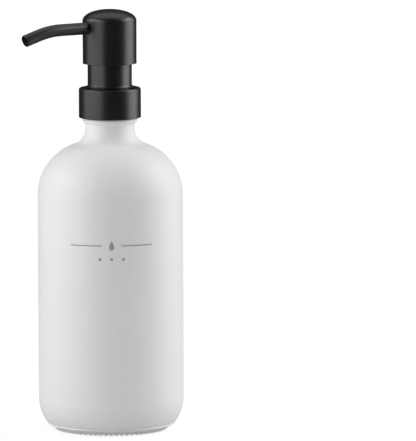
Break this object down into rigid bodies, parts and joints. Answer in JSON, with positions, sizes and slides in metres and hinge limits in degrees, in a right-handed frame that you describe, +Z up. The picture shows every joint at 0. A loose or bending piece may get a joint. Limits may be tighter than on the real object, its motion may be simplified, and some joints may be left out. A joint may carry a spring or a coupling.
{
  "type": "soap pump dispenser",
  "caption": "Round-shouldered bottle with a screw-on lotion pump: pressing the domed head draws liquid up a dip tube and out of a long drooping spout.",
  "frame": {"origin": "on the bottle axis in the plane of the ring the bottle stands on; the flat centre of the underside is 1 mm above it", "axes": "+Z up along the bottle axis, the spout points along -X, +Y completes the right-handed frame"},
  "size_m": [0.0904, 0.075, 0.2175],
  "materials": {
    "glass_bottle": "opaque white coating with a matte, frosted surface",
    "rim_gasket": "matte off-white foam seal",
    "pump_housing": "natural translucent plastic",
    "retainer_ring": "natural plastic",
    "stem_wiper": "matte grey elastomer",
    "ball_cage": "natural plastic",
    "dip_tube": "natural extruded plastic",
    "inlet_ball": "polished stainless steel",
    "collar_shell": "satin black coating over drawn metal",
    "neck_sleeve": "satin black coating over drawn metal",
    "threaded_cap": "black moulded plastic",
    "return_spring": "drawn stainless wire",
    "piston_stem": "natural plastic",
    "stem_plug": "natural plastic",
    "piston": "soft natural plastic",
    "outlet_ball": "polished stainless steel",
    "head_shell": "satin black coating over drawn metal",
    "head_core": "black moulded plastic",
    "spout_tube": "satin black coating over metal tube",
    "spout_liner": "black plastic"
  },
  "bodies": {
    "bottle": {"glass_bottle": "glass_bottle"},
    "gasket": {"rim_gasket": "rim_gasket"},
    "pump_body": {"pump_housing": "pump_housing", "retainer_ring": "retainer_ring", "stem_wiper": "stem_wiper", "ball_cage": "ball_cage", "dip_tube": "dip_tube"},
    "collar": {"collar_shell": "collar_shell", "neck_sleeve": "neck_sleeve", "threaded_cap": "threaded_cap"},
    "spring": {"return_spring": "return_spring"},
    "head": {"head_shell": "head_shell", "head_core": "head_core", "spout_tube": "spout_tube", "spout_liner": "spout_liner", "piston_stem": "piston_stem", "stem_plug": "stem_plug"},
    "piston_ring": {"piston": "piston"},
    "outlet_valve": {"outlet_ball": "outlet_ball"},
    "inlet_valve": {"inlet_ball": "inlet_ball"}
  },
  "joints": [
    {"name": "pump_lift", "type": "slide", "parent": "bottle", "child": "gasket", "axis": [0, 0, 1], "range_m": [0, 0.168]},
    {"name": "closure_lift", "type": "slide", "parent": "gasket", "child": "pump_body", "axis": [0, 0, 1], "range_m": [0, 0.00423]},
    {"name": "collar_turn", "type": "hinge", "parent": "pump_body", "child": "collar", "pos_m": [0, 0, 0.17], "axis": [0, 0, 1], "range_deg": [0, 360]},
    {"name": "head_swivel", "type": "hinge", "parent": "pump_body", "child": "spring", "pos_m": [0, 0, 0.19], "axis": [0, 0, 1], "continuous": true},
    {"name": "head_press", "type": "slide", "parent": "spring", "child": "head", "axis": [0, 0, -1], "range_m": [0, 0.011], "stiffness_N_per_m": 600, "springref_m": -0.008, "deforming": ["return_spring"]},
    {"name": "piston_shift", "type": "slide", "parent": "head", "child": "piston_ring", "axis": [0, 0, 1], "range_m": [0, 0.0012]},
    {"name": "outlet_ball_lift", "type": "slide", "parent": "head", "child": "outlet_valve", "axis": [0, 0, 1], "range_m": [0, 0.0015]},
    {"name": "inlet_ball_lift", "type": "slide", "parent": "pump_body", "child": "inlet_valve", "axis": [0, 0, 1], "range_m": [0, 0.0015]}
  ],
  "couplings": [
    {"joint": "collar_turn", "follows": "closure_lift", "rad_per_m": 1484.3}
  ]
}
